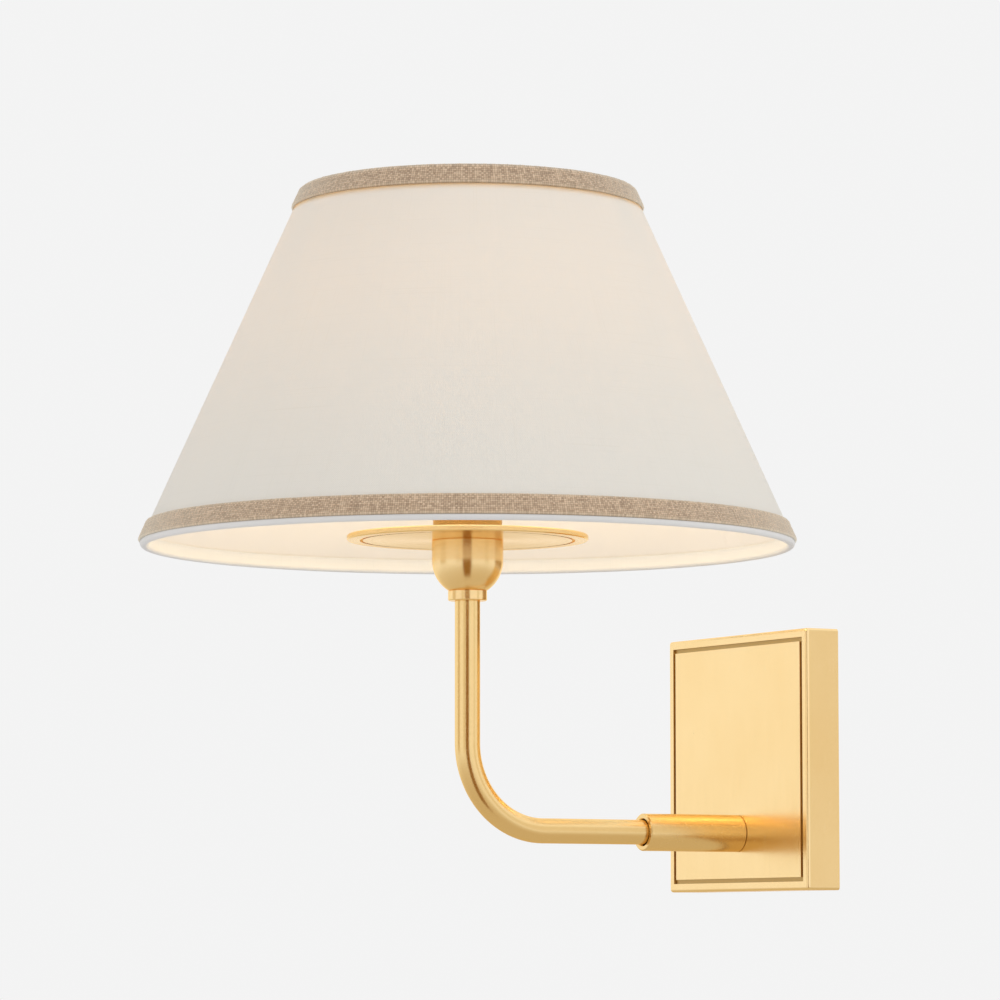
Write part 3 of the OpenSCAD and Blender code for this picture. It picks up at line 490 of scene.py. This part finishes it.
class Skin:
    def __init__(self):
        r, z = section("shade_fabric")
        low, high = r.argmax(), z.argmax()
        self.foot = np.array([r[low], z[low]])
        run = np.array([r[high], z[high]]) - self.foot
        self.length = float(np.hypot(*run))
        self.up = run / self.length
        self.out = np.array([self.up[1], -self.up[0]])

    def span(self, node):
        """Least and greatest s, then least and greatest o, of a CAD node."""
        r, z = section(node)
        rel = np.stack([r, z], -1) - self.foot
        s, o = rel @ self.up, rel @ self.out
        return s.min(), s.max(), o.min(), o.max()

    def at(self, s, o):
        """Radius and height of the point s up and o out."""
        s, o = np.asarray(s, float), np.asarray(o, float)
        return self.foot + s[..., None] * self.up + o[..., None] * self.out


skin = Skin()


def hoop(node):
    """Middle of a wire hoop's section as s and o, and the wire's radius."""
    s0, s1, o0, o1 = skin.span(node)
    return (s0 + s1) / 2, (o0 + o1) / 2, (o1 - o0) / 2


def revolve(profile, angles):
    """Points of an outline of (radius, height) turned to each angle: an array round by along by 3."""
    a = np.asarray(angles)[:, None]
    r, z = profile[..., 0], profile[..., 1]
    if profile.ndim == 2:
        r, z = r[None, :], z[None, :]
    z = np.broadcast_to(z, (len(a), z.shape[1]))
    return np.stack([LAMP.x + r * np.cos(a), LAMP.y + r * np.sin(a), z], -1)


def ripple(u, v, size, seed):
    """A slow, uneven swell from -1 to 1 that meets itself where u goes once round the shade."""
    rng = np.random.default_rng(seed)
    total = 0.0
    for turns in (2, 3, 5, 8, 13):
        lean, phase, level = rng.uniform(-60, 60), rng.uniform(0, 2 * math.pi), rng.uniform(0.5, 1.0)
        total = total + level / math.sqrt(turns) * np.sin(turns * u + lean * v + phase)
    return size * total / 2.5


def even_angles(count):
    return np.arange(count) * 2 * math.pi / count


def seam_angles(count, half):
    """Even angles round the shade, with more of them across a lapped seam of that half width."""
    reach = 1.6 * half / SHADE_RADIUS
    near = SEAM + np.linspace(-reach, reach, 21)
    far = even_angles(count)
    far = far[np.abs(far - SEAM) > reach + math.pi / count]
    return np.sort(np.concatenate([far, near]))


def lap(angles, half, rise):
    """How far a lapped seam stands up at each angle: one side climbs softly and the other drops."""
    d = (angles - SEAM) * SHADE_RADIUS
    climb = np.clip((d + half) / LAP_CLIMB, 0, 1)
    drop = np.clip((half - d) / LAP_DROP, 0, 1)
    return rise * np.minimum(climb * climb * (3 - 2 * climb), drop)


def linen_cover():
    """The linen skin, glued round the liner with a turned seam at the back."""
    s0, s1, o0, o1 = skin.span("shade_fabric")
    rows = 46
    s_out = np.linspace(s0 + 0.0002, s1 - 0.0002, rows)
    s = np.concatenate([s_out, s_out[::-1][::9]])
    outer = np.arange(len(s)) < rows
    angles = seam_angles(420, LINEN_LAP)
    u, v = np.meshgrid(angles, s, indexing="ij")
    swell = ripple(u, v, LINEN_SWELL, 4) * np.sin(np.clip(v / skin.length, 0, 1) * math.pi)
    seam = lap(angles, LINEN_LAP, LINEN_LAP_RISE)[:, None]
    o = np.where(outer, o1 - 0.00015 + swell + seam, o0 + 0.0001)
    uv = np.stack([u * SHADE_RADIUS, v + np.where(outer, 0, 0.3)], -1)
    piece = grid_piece("linen_cover", revolve(skin.at(v, o), angles), uv)
    face_materials(piece, len(s), len(angles), lambda j: 0 if j < rows - 1 else 1)
    return piece


def liner_cone():
    """The stiff liner, lapped over itself at the back."""
    s0, s1, o0, o1 = skin.span("shade_liner")
    rows = 12
    s = np.concatenate([np.linspace(s0, s1, rows), np.linspace(s1, s0, rows)])
    outer = np.arange(len(s)) < rows
    angles = seam_angles(360, LINER_LAP)
    u, v = np.meshgrid(angles, s, indexing="ij")
    seam = lap(angles, LINER_LAP, LINER_LAP_RISE)[:, None]
    o = np.where(outer, o1 - 0.0001, o0 + 0.0002 - seam)
    uv = np.stack([u * SHADE_RADIUS, v], -1)
    return grid_piece("liner_sheet", revolve(skin.at(v, o), angles), uv)


def tape_relief(length):
    """Heights of a ribbed plain weave on a grid. Yarns run both ways, and each swells a little."""
    fine = 4
    count = int(round(length / YARN / 2)) * 2
    rng = np.random.default_rng(11)
    u = (np.arange(count * fine) + 0.5) / fine
    v = (np.arange(TAPE_ROWS * fine) + 0.5) / fine
    i, j = np.floor(u).astype(int), np.floor(v).astype(int)
    fat_u = 1 + 0.12 * rng.standard_normal(count)[i]
    fat_v = 1 + 0.10 * rng.standard_normal(TAPE_ROWS)[j]
    du, dv = (u - i - 0.5) * 2, (v - j - 0.5) * 2
    weft_arch = np.sqrt(np.clip(1 - (du / 1.05) ** 2, 0, 1)) * fat_u
    warp_arch = np.sqrt(np.clip(1 - (dv / 1.08) ** 2, 0, 1)) * fat_v
    wave_u = np.cos(math.pi * (u[:, None] - 0.5 - j[None, :]))
    wave_v = -np.cos(math.pi * (v[None, :] - 0.5 - i[:, None]))
    stitch = 0.09 * rng.standard_normal((count, TAPE_ROWS))[i[:, None], j[None, :]]
    warp = 0.62 * warp_arch[None, :] + 0.30 * wave_u + stitch
    weft = 0.50 * weft_arch[:, None] + 0.34 * wave_v - stitch
    height = np.clip(np.maximum(warp, weft), -0.1, 1.2)
    return u / count, v / TAPE_ROWS, (height - height.min()) / (height.max() - height.min())


def tape_ring(name, path, normal):
    """A woven tape on a path of (radius, height) points. Its back lies flat on what it covers."""
    step = np.hypot(*np.diff(path, axis=0).T)
    reach = np.concatenate([[0], np.cumsum(step)])
    width = reach[-1]
    middle_radius = path[:, 0].mean()
    share_u, share_v, height = tape_relief(2 * math.pi * middle_radius)
    s = share_v * width
    base = np.stack([np.interp(s, reach, path[:, k]) for k in range(2)], -1)
    lift = np.stack([np.interp(s, reach, normal[:, k]) for k in range(2)], -1)
    lift /= np.linalg.norm(lift, axis=1, keepdims=True)
    edge = np.clip(np.minimum(s, width - s) / TAPE_EDGE, 0, 1)
    body = TAPE_THICK * (0.30 + 0.70 * np.sqrt(edge))
    angles = share_u * 2 * math.pi
    shed = body[None, :] - TAPE_RELIEF * (1 - height)
    front = base[None] + lift[None] * shed[..., None]
    back_s = np.linspace(width, 0, 6)
    back = np.stack([np.interp(back_s, reach, path[:, k]) for k in range(2)], -1)
    back = np.broadcast_to(back[None], (len(angles),) + back.shape)
    profile = np.concatenate([front, back], 1)
    u = np.broadcast_to((angles * middle_radius)[:, None], profile.shape[:2])
    v = np.broadcast_to(np.concatenate([s, back_s])[None], profile.shape[:2])
    crown = np.concatenate([height, np.zeros((len(angles), len(back_s)))], 1)
    rim = np.clip(1 - np.minimum(s, width - s) / SELVEDGE, 0, 1)
    selvedge = np.broadcast_to(np.concatenate([rim, np.zeros(len(back_s))])[None], profile.shape[:2])
    marks = {"crown": crown, "selvedge": selvedge}
    return grid_piece(name, revolve(profile, angles), np.stack([u, v], -1), marks)


def arc_path(centre, radius, a0, a1, count):
    """Points and outward directions round a hoop, from angle a0 to a1 measured from straight out."""
    a = np.linspace(a0, a1, count)
    away = np.cos(a)[:, None] * skin.out + np.sin(a)[:, None] * skin.up
    return skin.at(*centre) + radius * away, away


def bottom_tape():
    """It starts just above the widest point of the rolled edge and lies along the linen."""
    top = skin.span("bottom_trim")[1]
    hoop_s, hoop_o = hoop("bottom_wire_ring")[:2]
    lean = math.atan2(skin.out[1], skin.out[0])
    bend, away = arc_path((hoop_s, hoop_o), GLUE - hoop_o, TAPE_START - lean, 0, 6)
    s = np.linspace(hoop_s, top, 20)[1:]
    path = np.concatenate([bend, skin.at(s, np.full_like(s, GLUE))])
    normal = np.concatenate([away, np.tile(skin.out, (len(s), 1))])
    return tape_ring("bottom_tape", path, normal)


def top_tape():
    """It lies along the linen and turns over the top hoop."""
    low = skin.span("top_trim")[0]
    hoop_s, hoop_o = hoop("top_wire_ring")[:2]
    s = np.linspace(low, hoop_s, 18)[:-1]
    flat = skin.at(s, np.full_like(s, GLUE))
    bend, away = arc_path((hoop_s, hoop_o), GLUE - hoop_o, 0, TAPE_TURN, 14)
    path = np.concatenate([flat, bend])
    normal = np.concatenate([np.tile(skin.out, (len(s), 1)), away])
    return tape_ring("top_tape", path, normal)


def binding_profile(hoop_name, way, outer_leg, fold_s, fold_o):
    """Outline of a tape that covers a hoop: a leg outside, a roll, and a fold inside the liner."""
    hoop_s, hoop_o, wire = hoop(hoop_name)
    inner = wire + GLUE
    rolled = inner + BINDING_THICK
    turn = BINDING_TURN * way
    out_roll = arc_path((hoop_s, hoop_o), rolled, 0, turn, 26)[0]
    in_roll = arc_path((hoop_s, hoop_o), inner, turn, 0, 20)[0]
    bend = hoop_s - way * BINDING_BEND
    along = np.array([bend, (bend + fold_s) / 2, fold_s])
    fold = skin.at(along, np.full(3, fold_o))
    fold_back = skin.at(along[::-1], np.full(3, fold_o + BINDING_THICK))
    leg = skin.at(np.array([outer_leg]), np.array([hoop_o + rolled]))
    leg_back = skin.at(np.array([outer_leg]), np.array([hoop_o + inner]))
    return np.concatenate([leg, out_roll, fold, fold_back, in_roll, leg_back])


def smooth_band(name, profile, count, seed):
    """A turned band whose surface wanders a little, as hand-rolled cloth does."""
    angles = even_angles(count)
    reach = np.concatenate([[0], np.cumsum(np.hypot(*np.diff(profile, axis=0).T))])
    u, v = np.meshgrid(angles, reach, indexing="ij")
    tangent = np.roll(profile, -1, 0) - np.roll(profile, 1, 0)
    out = np.stack([tangent[:, 1], -tangent[:, 0]], -1)
    out /= np.linalg.norm(out, axis=1, keepdims=True) + 1e-9
    middle = profile.mean(0)
    away = profile - middle
    keep = np.sign((out * away).sum(1))[:, None]
    shift = ripple(9 * u, v * 40, BINDING_WOBBLE, seed) - BINDING_WOBBLE
    moved = profile[None] + (out * keep)[None] * shift[..., None]
    uv = np.stack([u * profile[:, 0].mean(), v], -1)
    return grid_piece(name, revolve(moved, angles), uv)


def fold_depth():
    """Where the fold's inner side lies: a tape's thickness inside the liner."""
    return skin.span("shade_liner")[2] - GLUE - BINDING_THICK


def bottom_roll():
    fold_top = skin.span("bottom_binding")[1]
    leg = skin.span("shade_liner")[0] - GLUE
    profile = binding_profile("bottom_wire_ring", -1, leg, fold_top, fold_depth())
    return smooth_band("bottom_roll", profile, 480, 7)


def top_roll():
    fold_low = skin.span("top_binding")[0]
    leg = skin.span("shade_liner")[1] + GLUE
    profile = binding_profile("top_wire_ring", 1, leg, fold_low, fold_depth())
    return smooth_band("top_roll", profile, 360, 9)


# Materials

PLATE_GRAIN = (2600.0, 2600.0, 30.0)
TURNED_GRAIN = (2600.0, 2600.0, 120.0)
TUBE_GRAIN = (500.0, 500.0, 500.0)

hub_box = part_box("hub_sleeve")
HUB = Vector((0, 0, (hub_box[0].z + hub_box[1].z) / 2))

plate_brass = brass("plate_brass", PLATE_GRAIN, darkening=groove_darkening)
lamp_brass = brass("turned_brass", TURNED_GRAIN, LAMP, "Z", 0.18, 0.26, 0.65)
# The disc ring gets the darker copy of the brass: painted shade
shaded_ring_brass = brass("shaded_ring_brass", TURNED_GRAIN, LAMP, "Z", 0.22, 0.32, 0.75, RING_BRASS_SHADED)
# The hub and the tube use the deeper, painted-shade copy of the brass
hub_brass = brass("hub_brass", TURNED_GRAIN, HUB, "Y", 0.22, 0.27, 0.3, BRASS_ARM_SHADED, foot_painted_shadow, 0.10)
tube_brass = brass("tube_brass", TUBE_GRAIN, smooth=0.19, rough=0.25, tint=BRASS_ARM_SHADED)
raw_brass = metal("raw_brass", RAW_BRASS, (0.60, 0.43, 0.19), 0.28, 0.42)
zinc = metal("zinc_plate", ZINC, (0.47, 0.48, 0.50), 0.30, 0.45, 70.0)
aluminium = metal("bulb_cap_metal", (0.78, 0.78, 0.77), (0.70, 0.70, 0.68), 0.22, 0.35)
copper = metal("bare_copper", (0.80, 0.42, 0.26), (0.64, 0.30, 0.18), 0.25, 0.40)
green_metal = moulded("green_screw", (0.05, 0.22, 0.08), (0.04, 0.17, 0.06), 0.28, 0.42)
black_plastic = moulded("black_plastic", (0.018, 0.018, 0.019), (0.026, 0.026, 0.027), 0.34, 0.50)
pale_plastic = moulded("off_white_plastic", (0.76, 0.74, 0.68), (0.70, 0.68, 0.62), 0.36, 0.50)
orange_plastic = moulded("orange_plastic", (0.78, 0.24, 0.04), (0.70, 0.20, 0.03), 0.38, 0.52)
white_wire = moulded("white_insulation", (0.76, 0.76, 0.73), (0.70, 0.70, 0.67), 0.40, 0.52)
black_wire = moulded("black_insulation", (0.02, 0.02, 0.02), (0.03, 0.03, 0.03), 0.40, 0.52)
enamel = moulded("white_enamel", ENAMEL, (0.74, 0.73, 0.70), 0.26, 0.36, 200.0, 0.00002)
filament_coat = moulded("filament_coating", (0.85, 0.58, 0.16), (0.78, 0.50, 0.12), 0.50, 0.65)
bulb_skin = frosted_bulb()
glass = clear_glass()
linen_out = linen("shade_linen", LINEN, LINEN_THREAD, glow=0.24, thin_at=skin.span("top_trim")[0])
linen_back = hidden_back("linen_inner_side", LINEN)
roll_linen = linen("binding_linen", BINDING, (0.62, 0.62, 0.60), pitch=0.00036, relief=0.00004)
cream_liner = liner_sheet()
tape_yarn = woven_tape()

CAD_FINISH = {
    "backplate": plate_brass, "hub_sleeve": hub_brass, "arm_tube": tube_brass, "stem_collar": lamp_brass,
    "socket_cup": lamp_brass, "light_disc": lamp_brass, "disc_ring": shaded_ring_brass, "cover_screws": raw_brass,
    "hub_nipple": raw_brass, "hub_nut": raw_brass, "stem_nipple": raw_brass, "cup_nut": raw_brass,
    "screw_shell": raw_brass, "centre_contact": raw_brass, "terminal_screws": raw_brass,
    "mounting_bracket": zinc, "hub_washer": zinc, "bulb_contact": zinc, "ground_screw": green_metal,
    "socket_cap": black_plastic, "socket_body": pale_plastic, "shade_ring": black_plastic,
    "bulb_insulator": black_plastic, "ground_lead": copper, "wire_connectors": orange_plastic,
    "uno_ring": enamel, "top_wire_ring": enamel, "bottom_wire_ring": enamel, "bulb_glass": bulb_skin,
    "bulb_cap": aluminium, "bulb_stem": glass, "bulb_filament": filament_coat,
}
for name, surface in CAD_FINISH.items():
    for slot in frame["nodes"][name].material_slots:
        slot.material = surface

# The shade's pieces and the wires

cover = dress(linen_cover(), "shade", "shade_fabric", [linen_out, linen_back], "shade_fabric")
dress(liner_cone(), "shade", "shade_liner", cream_liner, "shade_liner")
low_tape = dress(bottom_tape(), "shade", "bottom_trim", tape_yarn, "bottom_trim")
high_tape = dress(top_tape(), "shade", "top_trim", tape_yarn, "top_trim")
low_roll = dress(bottom_roll(), "shade", "bottom_binding", roll_linen, "bottom_binding")
high_roll = dress(top_roll(), "shade", "top_binding", roll_linen, "top_binding")
dress(smooth_wire("fitter_arms", "shade_arms"), "shade", "fitter_arms", enamel, "fitter_arms")
dress(smooth_wire("live_lead", "black_lead"), "base", "live_lead", black_wire, "live_lead")
dress(smooth_wire("neutral_lead", "white_lead"), "base", "neutral_lead", white_wire, "neutral_lead")

# Floor, world, lights and camera


def pale_world():
    world = bpy.data.worlds.new("studio")
    bpy.context.scene.world = world
    world.use_nodes = True
    tree = world.node_tree
    tree.nodes.clear()
    path = shader(tree, "LightPath").outputs
    seen = math_of(tree, "MAXIMUM", path["Is Camera Ray"], path["Is Transmission Ray"])
    backdrop = shader(tree, "Background", {"Color": BACKDROP, "Strength": 1.0}).outputs[0]
    studio = shader(tree, "Background", {"Color": STUDIO, "Strength": 1.07}).outputs[0]
    fill = shader(tree, "Background", {"Color": ROOM_LIGHT, "Strength": 0.80}).outputs[0]
    shown = shader(tree, "MixShader", {0: path["Is Glossy Ray"], 1: fill, 2: studio}).outputs[0]
    shown = shader(tree, "MixShader", {0: seen, 1: shown, 2: backdrop}).outputs[0]
    shader(tree, "OutputWorld", {"Surface": shown})


def pale_floor():
    mesh = bpy.data.meshes.new("floor")
    corners = [(x * FLOOR_HALF, y * FLOOR_HALF, FLOOR_Z) for x, y in ((-1, -1), (1, -1), (1, 1), (-1, 1))]
    mesh.from_pydata(corners, [], [(0, 1, 2, 3)])
    floor = link("floor", mesh)
    made, tree = material("pale_floor")
    mottle = noise_of(tree, place(tree), 3.0, 2.0)
    face = shader(tree, "BsdfPrincipled", {
        "Base Color": mix_of(tree, mottle, (0.86, 0.86, 0.86), (0.83, 0.83, 0.83)), "Roughness": 0.8})
    spot = shader(tree, "VectorMath", {0: place(tree)}, operation="LENGTH").outputs["Value"]
    # Painted reflection: for glossy rays the floor glows, darker and warmer near the lamp as painted shade
    painted_floor_reflection = mix_of(tree, spread(tree, spot, 0.5, 2.2), FLOOR_NEAR, FLOOR_FAR)
    lit = shader(tree, "Emission", {"Color": painted_floor_reflection, "Strength": 1.0}).outputs[0]
    glossy = shader(tree, "LightPath").outputs["Is Glossy Ray"]
    output(tree, shader(tree, "MixShader", {0: glossy, 1: face.outputs[0], 2: lit}).outputs[0])
    mesh.materials.append(made)


def flag(name, turn, width, level, near=(3.4, -0.3), far=(3.4, 2.2)):
    """A dimly glowing card that only the brass reflects, from its near edge to its far one: a painted dark
    reflection.

    turn is measured from the camera to its right, width is the angle that the card fills, and an edge
    is given by its distance from the lamp's axis and its height.
    """
    facing = math.radians(CAMERA_TURN - 90 + turn)
    ahead = Vector((math.cos(facing), math.sin(facing), 0))
    side = Vector((-math.sin(facing), math.cos(facing), 0)) * math.tan(math.radians(width / 2))
    points = []
    for (away, z), way in ((near, -1), (near, 1), (far, 1), (far, -1)):
        points.append(Vector((LAMP.x, LAMP.y, z)) + away * (ahead + way * side))
    mesh = bpy.data.meshes.new(name)
    mesh.from_pydata(points, [], [(0, 1, 2, 3)])
    card = link(name, mesh)
    made, tree = material(name + "_cloth")
    # The card's warm tint stands in for brass seen in brass: painted reflection colour
    painted_reflection_tint = (level, level ** 1.6, level ** 2.8)
    output(tree, shader(tree, "Emission", {"Color": painted_reflection_tint, "Strength": 1.0}).outputs[0])
    mesh.materials.append(made)
    card.visible_camera = card.visible_diffuse = card.visible_shadow = card.visible_transmission = False


def area_light(name, place_at, aim, size, power, colour=(1, 1, 1)):
    data = bpy.data.lights.new(name, "AREA")
    data.shape = "RECTANGLE"
    data.size, data.size_y = size
    data.energy = power
    data.color = colour
    lamp = link(name, data)
    lamp.visible_glossy = False
    lamp.location = place_at
    lamp.rotation_euler = (Vector(aim) - Vector(place_at)).to_track_quat("-Z", "Y").to_euler()


def bulb_light():
    low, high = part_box("bulb_glass")
    data = bpy.data.lights.new("bulb_light", "POINT")
    data.energy = 0.68
    data.color = BULB_LIGHT
    data.shadow_soft_size = 0.026
    lamp = link("bulb_light", data)
    lamp.location = (LAMP.x, LAMP.y, high.z - (high.x - low.x) / 2)


def photo_camera():
    turn, rise = math.radians(CAMERA_TURN), math.radians(CAMERA_RISE)
    ahead = Vector((-math.sin(turn) * math.cos(rise), math.cos(turn) * math.cos(rise), math.sin(rise)))
    data = bpy.data.cameras.new("camera")
    data.lens = CAMERA_LENS
    data.sensor_width = 36
    data.clip_start, data.clip_end = 0.05, 100
    camera = link("camera", data)
    camera.location = CAMERA_AIM - ahead * CAMERA_DISTANCE
    camera.rotation_euler = ahead.to_track_quat("-Z", "Y").to_euler()
    bpy.context.scene.camera = camera


photo_camera()
pale_world()
pale_floor()
flag("flag_front", -1, 28, 0.31, (0.3, FLAG_FOOT), (0.3, 0.16))
flag("flag_right", 65, 15, 0.85)
flag("flag_right_back", 123, 44, 0.40)
flag("flag_left", -28, 18, 0.84)
flag("flag_left_far", -86, 24, 0.74)
area_light("key", (1.95, 1.15, 1.3), (0, -0.17, 0.1), (1.2, 1.2), 16.5, (0.96, 0.98, 1.0))
area_light("fill", (0.1, -2.5, 0.9), (0, -0.17, 0.1), (1.4, 1.0), 9)
bulb_light()

bpy.context.scene.view_settings.view_transform = "Standard"
